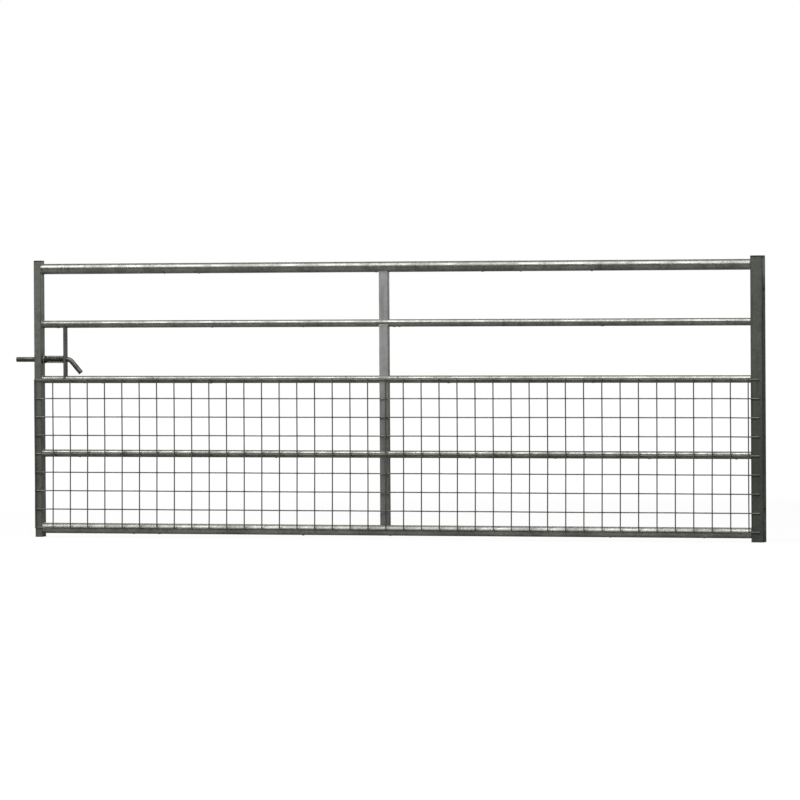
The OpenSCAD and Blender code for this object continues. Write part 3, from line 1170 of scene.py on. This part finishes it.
@dataclass
class Framework:
    """The rails, stiles and uprights of the frame, with the welds and drips that join them.

    Attributes:
        trees: The geometry trees.
        rail_zinc: Finish of the upper four rails.
        painted_light_bottom_rail_zinc: Finish of the bottom rail: the rails' zinc in a paler copy, painted
            light that stands in for the different light on that rail.
        hanging_zinc: Finish of the hanging stile.
        slam_zinc: Finish of the slam stile.
        upright_zinc: Finish of the centre upright.
        guide_zinc: Finish of the latch guide bar.
        bead_radius: Radius of a rail's weld bead.
        small_bead: Radius of the upright's beads.
        guide_bead: Radius of the guide bar's beads.
        bead_step: Distance between points along a bead, in its radii.
        ripple: Height of a bead's ripples, as a share of its radius.
        unevenness: How far a bead's fullness strays, as a share of its radius.
        upright_corner: Corner radius of the centre upright.
        guide_corner: Corner radius of the guide bar.
        drip: Radius of a drop of zinc.
        drip_shape: How far a drop is stretched along each axis.
        drips_per_rail: Number of drops under each rail.
    """

    trees: Trees
    rail_zinc: bpy.types.Material
    painted_light_bottom_rail_zinc: bpy.types.Material
    hanging_zinc: bpy.types.Material
    slam_zinc: bpy.types.Material
    upright_zinc: bpy.types.Material
    guide_zinc: bpy.types.Material
    bead_radius: float = 0.0022
    small_bead: float = 0.0018
    guide_bead: float = 0.00252
    bead_step: float = 0.6
    ripple: float = 0.2
    unevenness: float = 0.22
    upright_corner: float = 0.003
    guide_corner: float = 0.001
    drip: float = 0.0022
    drip_shape: tuple[float, float, float] = (3.0, 1.0, 0.6)
    drips_per_rail: int = 6

    def bead(
        self,
        name: str,
        loops: Sequence[Loop],
        radius: float,
        material: bpy.types.Material,
        slot: Slot,
        seed: int,
    ) -> None:
        """Lays weld beads.

        Args:
            name: The piece's name.
            loops: Closed guide lines.
            radius: Radius of the bead.
            material: The bead's finish.
            slot: Slot of that finish.
            seed: Seed of its unevenness.
        """
        sizes = {
            "Spacing": radius * self.bead_step,
            "Ripple": self.ripple,
            "Unevenness": self.unevenness,
            "Seed": seed,
            "Sides": 8,
            "Radius": radius,
            "Material": material,
        }
        seat(self.trees.bead.apply(guide_piece(name, loops, closed=True), sizes), Body.GATE, slot)

    def rail_welds(self) -> None:
        """Builds the bead round both ends of every rail."""
        loops = []
        for name in RAIL_NODES:
            rail = Rail.from_node(name)
            ring = circle(rail.radius + 0.25 * self.bead_radius, 48)
            inset = 0.3 * self.bead_radius
            for place in (rail.start + inset, rail.end - inset):
                loops.append([Vector((place, across, rail.height + up)) for across, up in ring])
        self.bead("rail_welds", loops, self.bead_radius, self.rail_zinc, Slot.RAIL, 3)

    def saddle(self, node: str, corner: float, rail: Rail, above: bool) -> Loop:
        """Draws the line where an upright piece meets a rail.

        Args:
            node: Node of the upright piece.
            corner: Its corner radius.
            rail: The rail that it meets.
            above: Whether the piece stands above the rail.

        Returns:
            The closed line.
        """
        low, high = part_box(node)
        middle = (low.x + high.x) / 2
        side = 1 if above else -1
        line = []
        for point in rounded_outline(high.x - low.x, high.y - low.y, corner):
            rise = math.sqrt(max(0.0, rail.radius**2 - point.y**2))
            line.append(Vector((middle + point.x, point.y, rail.height + side * rise)))
        return line

    def upright_welds(self) -> None:
        """Builds the beads at both ends of each length of the centre upright."""
        rails = [Rail.from_node(name) for name in RAIL_NODES]
        loops = []
        for node, above, below in zip(UPRIGHT_NODES, rails, rails[1:]):
            loops.append(self.saddle(node, self.upright_corner, above, False))
            loops.append(self.saddle(node, self.upright_corner, below, True))
        self.bead("upright_welds", loops, self.small_bead, self.upright_zinc, Slot.UPRIGHT, 5)

    def guide_welds(self) -> None:
        """Builds the fuller beads at both ends of the latch guide bar."""
        loops = [
            self.saddle("latch_guide", self.guide_corner, Rail.from_node("second_rail"), False),
            self.saddle("latch_guide", self.guide_corner, Rail.from_node("third_rail"), True),
        ]
        self.bead("guide_welds", loops, self.guide_bead, self.guide_zinc, Slot.BOX, 7)

    def drips(self) -> None:
        """Builds the drops of zinc that set along the underside of the rails."""
        chance = random.Random(21)
        points = []
        for name in RAIL_NODES:
            rail = Rail.from_node(name)
            for _ in range(self.drips_per_rail):
                place = rail.start + (rail.end - rail.start) * chance.uniform(0.02, 0.98)
                points.append([Vector((place, 0.0, rail.height - rail.radius))])
        sizes = {
            "Radius": self.drip,
            "Shape": self.drip_shape,
            "Seed": 2,
            "Material": self.rail_zinc,
            "Wander": NO_MOVE,
        }
        seat(self.trees.lumps.apply(guide_piece("zinc_drips", points), sizes), Body.GATE, Slot.RAIL)

    def build(self) -> None:
        """Dresses the tubes and builds their welds."""
        dress(self.rail_zinc, *RAIL_NODES[:-1])
        # The bottom rail takes the paler copy of the rail zinc, painted light for the different light on it.
        dress(self.painted_light_bottom_rail_zinc, RAIL_NODES[-1])
        dress(self.hanging_zinc, "hanging_stile")
        dress(self.slam_zinc, "slam_stile")
        dress(self.guide_zinc, "latch_guide")
        dress(self.upright_zinc, *UPRIGHT_NODES)
        self.rail_welds()
        self.upright_welds()
        self.guide_welds()
        self.drips()


@dataclass
class StileCap:
    """A moulded cap pressed into the top of a stile.

    Attributes:
        name: The piece's name.
        node: The node that it stands for.
        stile: The node of its stile.
        material: Its finish.
        corner: Corner radius of the stile.
        edge: Radius of the rounded top edge.
        gap: Width of the shadow line under the skirt.
        plug_inset: Distance from the stile's face to the plug.
        plug_chamfer: Width of the plug's lead-in.
        least_corner: Smallest corner radius of any outline.
        crown: Height of the low crown above the rounded edge.
        crown_insets: Distances from the cap's side to the crown's shoulder and to its flat top.
    """

    name: str
    node: str
    stile: str
    material: bpy.types.Material
    corner: float = 0.005
    edge: float = 0.0022
    gap: float = 0.0004
    plug_inset: float = 0.0036
    plug_chamfer: float = 0.001
    least_corner: float = 0.0008
    crown: float = 0.0003
    crown_insets: tuple[float, float] = (0.006, 0.011)

    def build(self) -> None:
        """Builds the cap: plug, skirt, rounded edge and a low crown."""
        low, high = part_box(self.node)
        seat_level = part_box(self.stile)[1].z
        levels = [
            (self.plug_inset + self.plug_chamfer, low.z),
            (self.plug_inset, low.z + 2 * self.plug_chamfer),
            (self.plug_inset, seat_level),
            (self.gap, seat_level + self.gap),
            (0.0, seat_level + 2 * self.gap),
        ]
        steps = 6
        for n in range(steps + 1):
            angle = math.pi / 2 * n / steps
            inset = self.edge * (1 - math.cos(angle))
            levels.append((inset, high.z - self.crown - self.edge * (1 - math.sin(angle))))
        shoulder, flat = self.crown_insets
        levels += [(shoulder, high.z - self.crown / 3), (flat, high.z)]
        centre = Vector(((low.x + high.x) / 2, (low.y + high.y) / 2, 0))
        width, depth = high.x - low.x, high.y - low.y
        rings = []
        for inset, height in levels:
            corner = max(self.least_corner, self.corner - inset)
            outline = rounded_outline(width - 2 * inset, depth - 2 * inset, corner)
            rings.append([centre + point + Vector((0, 0, height)) for point in outline])
        seat(skin(self.name, rings, self.material), Body.GATE, Slot.CAP, self.node)


@dataclass
class SlamLatch:
    """The sprung slam bolt: rod with a bent handle, cross pin, washer and spring.

    Attributes:
        trees: The geometry trees.
        rod_steel: Finish of the bolt and pin.
        washer_steel: Finish of the washer.
        spring_steel: Finish of the spring.
        rod_radius: Radius of the bolt.
        nose_edge: Radius of the nose's rounded edge.
        past_guide: Straight length between the guide and the bend.
        bend_radius: Radius of the handle's bend.
        bend_angle: How far the handle turns down.
        handle: Straight length of the handle.
        coils: Working coils of the spring.
        spring_wire: Radius of the spring's wire.
        travel: How far the washer moves; not used.
        end_chamfer: Chamfer of the handle's cut end.
        bolt_sides: Number of sides of the bolt.
        wire_sides: Number of sides of the spring's wire.
        coil_steps: Number of points in a turn of the spring.
        spring_gap: Gap at each end of the spring.
        washer_play: Gap between the bolt and the washer's bore.
        washer_edge: Radius of the washer's rolled edges.
        washer_sides: Number of sides of the washer.
    """

    trees: Trees
    rod_steel: bpy.types.Material
    washer_steel: bpy.types.Material
    spring_steel: bpy.types.Material
    rod_radius: float = 0.01
    nose_edge: float = 0.005
    past_guide: float = 0.002
    bend_radius: float = 0.03
    bend_angle: float = math.radians(49)
    handle: float = 0.058
    coils: int = 11
    spring_wire: float = 0.0015
    travel: float = 0.042
    end_chamfer: float = 0.0008
    bolt_sides: int = 40
    wire_sides: int = 10
    coil_steps: int = 20
    spring_gap: float = 0.0001
    washer_play: float = 0.0005
    washer_edge: float = 0.0005
    washer_sides: int = 56

    def swept(
        self,
        name: str,
        line: Loop,
        reaches: list[float],
        radius: float,
        sides: int,
        material: bpy.types.Material,
    ) -> bpy.types.Object:
        """Sweeps one centre line to a rod.

        Args:
            name: The piece's name.
            line: The centre line.
            reaches: Share of the full radius at each point.
            radius: Full radius of the rod.
            sides: Number of sides.
            material: Its finish.

        Returns:
            The finished rod.
        """
        piece = guide_piece(name, [line])
        piece.data.attributes[REACH].data.foreach_set("value", reaches)
        sizes = {
            "Copies": 1,
            "Step": NO_MOVE,
            "Wander": NO_MOVE,
            "Sides": sides,
            "Radius": radius,
            "Material": material,
        }
        return self.trees.rod.apply(piece, sizes)

    def bolt(self) -> None:
        """Builds the bolt with its rounded nose, bent handle and cut end."""
        low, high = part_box("latch_bolt")
        axis = (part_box("bolt_pin")[0].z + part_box("bolt_pin")[1].z) / 2
        bend_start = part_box("latch_guide")[1].x + self.past_guide
        set_back = self.bend_radius * math.tan(self.bend_angle / 2)
        corner = Vector((bend_start + set_back, 0, axis))
        down = Vector((math.cos(self.bend_angle), 0, -math.sin(self.bend_angle)))
        line: Loop = []
        reaches: list[float] = []
        steps = 7
        for n in range(steps):
            angle = math.pi / 2 * n / steps
            line.append(Vector((low.x + self.nose_edge * (1 - math.cos(angle)), 0, axis)))
            reaches.append(1 - self.nose_edge * (1 - math.sin(angle)) / self.rod_radius)
        end = corner + down * (set_back + self.handle)
        corners = [Vector((low.x + self.nose_edge, 0, axis)), corner, end - down * self.end_chamfer]
        line += rounded_route(corners, self.bend_radius, spacing=0.02) + [end]
        reaches += [1.0] * (len(line) - len(reaches) - 1) + [1 - self.end_chamfer / self.rod_radius]
        piece = self.swept("slam_bolt", line, reaches, self.rod_radius, self.bolt_sides, self.rod_steel)
        seat(piece, Body.BOLT, Slot.BOLT, "latch_bolt")

    def spring(self) -> None:
        """Builds the spring, with a closed coil at each end."""
        low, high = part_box("latch_spring")
        washer_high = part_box("spring_washer")[1].x
        guide_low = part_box("latch_guide")[0].x
        start = washer_high + self.spring_gap + self.spring_wire
        end = guide_low - self.spring_gap - self.spring_wire
        axis = (low.z + high.z) / 2
        radius = (high.z - low.z) / 2 - self.spring_wire
        closed = 2 * self.spring_wire
        turns = self.coils + 2
        line = []
        for n in range(turns * self.coil_steps + 1):
            turn = n / self.coil_steps
            inner = min(max(turn - 1, 0), self.coils)
            along = closed * (min(turn, 1) + max(turn - 1 - self.coils, 0))
            place = start + along + (end - start - 2 * closed) * inner / self.coils
            angle = math.tau * turn
            line.append(Vector((place, radius * math.sin(angle), axis + radius * math.cos(angle))))
        reaches = [1.0] * len(line)
        piece = self.swept(
            "slam_spring", line, reaches, self.spring_wire, self.wire_sides, self.spring_steel
        )
        seat(piece, Body.GATE, Slot.SPRING, "latch_spring")
        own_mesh(piece)

    def washer(self) -> None:
        """Builds the washer with rolled edges."""
        low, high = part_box("spring_washer")
        axis = (low.z + high.z) / 2
        outer = (high.z - low.z) / 2
        inner = self.rod_radius + self.washer_play
        edge = self.washer_edge
        part_edge = 0.3 * edge
        profile = [
            (low.x, inner + edge),
            (low.x, outer - edge),
            (low.x + part_edge, outer - part_edge),
            (low.x + edge, outer),
            (high.x - edge, outer),
            (high.x - part_edge, outer - part_edge),
            (high.x, outer - edge),
            (high.x, inner + edge),
            (high.x - edge, inner),
            (low.x + edge, inner),
        ]
        rings = []
        for up, across in circle(1.0, self.washer_sides):
            way = Vector((0, across, up))
            rings.append([Vector((place, 0, axis)) + way * reach for place, reach in profile])
        piece = skin("thrust_washer", rings, self.washer_steel, tube=True)
        seat(piece, Body.WASHER, Slot.WASHER, "spring_washer")

    def build(self) -> None:
        """Builds the latch."""
        dress(self.rod_steel, "bolt_pin")
        self.bolt()
        self.washer()
        self.spring()


# ---------------------------------------------------------------- studio


@dataclass(frozen=True)
class SoftBox:
    """A large soft studio light.

    Attributes:
        name: The light's name.
        place: Its centre.
        aim: The point that it faces.
        width: Size across.
        height: Size up and down.
        power: Power in watts.
    """

    name: str
    place: Colour
    aim: Colour
    width: float
    height: float
    power: float

    def build(self) -> None:
        """Adds the light to the scene."""
        light = bpy.data.lights.new(self.name, "AREA")
        light.shape = "RECTANGLE"
        light.size = self.width
        light.size_y = self.height
        light.energy = self.power
        lamp = bpy.data.objects.new(self.name, light)
        way = Vector(self.aim) - Vector(self.place)
        turned = way.to_track_quat("-Z", "Y").to_matrix().to_4x4()
        lamp.matrix_world = Matrix.Translation(self.place) @ turned
        bpy.context.scene.collection.objects.link(lamp)


@dataclass(frozen=True)
class Studio:
    """Pale floor, white surroundings, soft lights and the camera.

    Attributes:
        yaw: Camera's turn from +Y towards +X.
        pitch: Its tilt above level.
        roll: Its lean.
        distance: Distance from the aim.
        aim: Point in the middle of the view.
        lens: Focal length for a 36 mm sensor.
        floor_radius: Radius of the floor.
        floor_tone: How much light the floor returns to the view.
        floor_glow: Its own brightness near the gate.
        floor_bounce: Colour of the light that it returns to the gate.
        floor_gap: Gap between the floor and the stiles' feet.
        dome_low: Colour of the dome towards the ground.
        dome_high: Colour of the dome overhead.
        lights: The soft lights.
    """

    yaw: float = math.radians(-18)
    pitch: float = math.radians(-1.1)
    roll: float = math.radians(-0.34)
    distance: float = 24.165
    aim: Colour = (-1.478, 0.0, 0.431)
    lens: float = 271.92
    floor_radius: float = 300.0
    floor_tone: float = 0.05
    floor_glow: float = 0.93
    floor_bounce: Colour = (0.3, 0.3, 0.29)
    floor_gap: float = 0.0005
    dome_low: Colour = (0.1, 0.105, 0.095)
    dome_high: Colour = (0.2, 0.21, 0.215)
    lights: tuple[SoftBox, ...] = (
        SoftBox("key_light", (-2.4, -5.0, 6.2), GATE_MIDDLE, width=10.0, height=3.0, power=620.0),
        SoftBox("top_light", (-2.0, -1.9, 6.5), (-2.0, -1.9, 0.4), width=10.0, height=3.0, power=420.0),
        SoftBox("back_fill", (-1.5, 7.0, 2.4), GATE_MIDDLE, width=8.0, height=3.0, power=100.0),
    )

    def camera(self) -> None:
        """Adds the camera."""
        lens = bpy.data.cameras.new("view")
        lens.lens = self.lens
        lens.sensor_width = 36.0
        lens.clip_end = 1000.0
        camera = bpy.data.objects.new("view", lens)
        turned = Euler((math.pi / 2 + self.pitch, 0.0, -self.yaw)).to_matrix().to_4x4()
        ahead = turned @ Vector((0, 0, -self.distance))
        lean = Matrix.Rotation(self.roll, 4, "Z")
        camera.matrix_world = Matrix.Translation(Vector(self.aim) - ahead) @ turned @ lean
        bpy.context.scene.collection.objects.link(camera)
        bpy.context.scene.camera = camera

    def surroundings(self) -> None:
        """Sets white surroundings behind the gate and a soft dim dome that lights it."""
        world = bpy.data.worlds.new("surroundings")
        bpy.context.scene.world = world
        world.use_nodes = True
        graph = NodeGraph(world.node_tree)
        for node in list(world.node_tree.nodes):
            world.node_tree.nodes.remove(node)
        way = graph.add("ShaderNodeTexCoord").outputs["Generated"]
        height = graph.add("ShaderNodeSeparateXYZ", {"Vector": way}).outputs["Z"]
        lift = graph.spread(height, low=-0.1, high=0.9)
        dome = graph.mix(lift, self.dome_low, self.dome_high)
        seen = graph.add("ShaderNodeLightPath").outputs["Is Camera Ray"]
        shade = graph.mix(seen, dome, WHITE)
        back = graph.add("ShaderNodeBackground", {"Color": shade, "Strength": 1.0})
        graph.add("ShaderNodeOutputWorld", {"Surface": back.outputs[0]})
        bpy.context.scene.view_settings.view_transform = "Standard"

    def floor(self) -> None:
        """Adds the pale floor under the stiles' feet."""
        level = CAD_BOX[0].z - self.floor_gap
        rim = [Vector((across, along, level)) for across, along in circle(self.floor_radius, 96)]
        mesh = bpy.data.meshes.new("floor")
        mesh.from_pydata(rim, [], [tuple(range(len(rim)))])
        material = bpy.data.materials.new("PaleFloor")
        material.use_nodes = True
        graph = NodeGraph(material.node_tree)
        shader = material.node_tree.nodes["Principled BSDF"]
        place = graph.add("ShaderNodeTexCoord").outputs["Object"]
        away = graph.add("ShaderNodeVectorMath", {0: place}, operation="LENGTH").outputs["Value"]
        faraway = graph.spread(away, low=3.0, high=9.0)
        glow = graph.math("MULTIPLY_ADD", faraway, 1 - self.floor_glow, self.floor_glow)
        seen = graph.add("ShaderNodeLightPath").outputs["Is Camera Ray"]
        tone = graph.mix(seen, self.floor_bounce, (self.floor_tone,) * 3)
        graph.tree.links.new(tone, shader.inputs["Base Color"])
        graph.tree.links.new(graph.math("MULTIPLY", glow, seen), shader.inputs["Emission Strength"])
        shader.inputs["Emission Color"].default_value = (*WHITE, 1.0)
        shader.inputs["Roughness"].default_value = 0.9
        shader.inputs["Specular IOR Level"].default_value = 0.0
        mesh.materials.append(material)
        linked("floor", mesh)

    def build(self) -> None:
        """Sets up the whole studio."""
        for light in self.lights:
            light.build()
        self.surroundings()
        self.floor()
        self.camera()


def main() -> None:
    """Builds the finishes, the sub-assemblies and the studio in order."""
    logging.basicConfig(level=logging.INFO, format="%(name)s %(message)s")
    effects = Effects()
    trees = Trees()
    rail_zinc = ZincFinish(
        "RailZinc",
        pale=(0.24, 0.245, 0.222),
        dark=(0.125, 0.13, 0.112),
        metallic=0.8,
        smooth=0.27,
        rough=0.42,
    ).build(effects)
    # The bottom rail is the same zinc as the rails above. Its paler colours are painted light, standing in
    # for the different light that falls on it; its rougher, less metallic values are real shader settings.
    painted_light_bottom_rail_zinc = ZincFinish(
        "BottomRailPaintedLightZinc",
        pale=(0.3, 0.3, 0.28),
        dark=(0.17, 0.172, 0.155),
        metallic=0.6,
        smooth=0.36,
        rough=0.5,
    ).build(effects)
    hanging_zinc = ZincFinish(
        "HangingStileZinc", pale=(0.12, 0.127, 0.113), dark=(0.065, 0.07, 0.061), soil_amount=0.5
    ).build(effects)
    slam_zinc = ZincFinish(
        "SlamStileZinc", pale=(0.175, 0.183, 0.167), dark=(0.09, 0.095, 0.085), soil_amount=0.3
    ).build(effects)
    upright_zinc = ZincFinish(
        "UprightZinc", pale=(0.38, 0.39, 0.375), dark=(0.265, 0.275, 0.26), soil_amount=0.55
    ).build(effects)
    guide_zinc = ZincFinish("GuideZinc", pale=(0.115, 0.12, 0.108), dark=(0.055, 0.058, 0.05)).build(effects)
    wire_zinc = ZincFinish(
        "WireZinc",
        pale=(0.125, 0.12, 0.105),
        dark=(0.062, 0.06, 0.051),
        spangle=260.0,
        streaks=0.2,
        bump=0.00005,
    ).build(effects)
    rod_steel = RodFinish("RodSteel", pale=(0.085, 0.083, 0.07), dark=(0.04, 0.04, 0.032)).build(effects)
    washer_steel = RodFinish("WasherSteel", pale=(0.3, 0.3, 0.28), dark=(0.14, 0.14, 0.13)).build(effects)
    spring_steel = RodFinish(
        "SpringSteel", pale=(0.06, 0.058, 0.052), dark=(0.018, 0.018, 0.016)
    ).build(effects)
    cap_plastic = MouldedFinish().build(effects)

    Framework(trees, rail_zinc, painted_light_bottom_rail_zinc, hanging_zinc, slam_zinc, upright_zinc, guide_zinc).build()
    MeshPanel(trees, wire_zinc).build()
    StileCap("hanging_cap", "hanging_stile_cap", "hanging_stile", cap_plastic).build()
    StileCap("slam_cap", "slam_stile_cap", "slam_stile", cap_plastic).build()
    SlamLatch(trees, rod_steel, washer_steel, spring_steel).build()
    Studio().build()


if __name__ == "__main__":
    main()
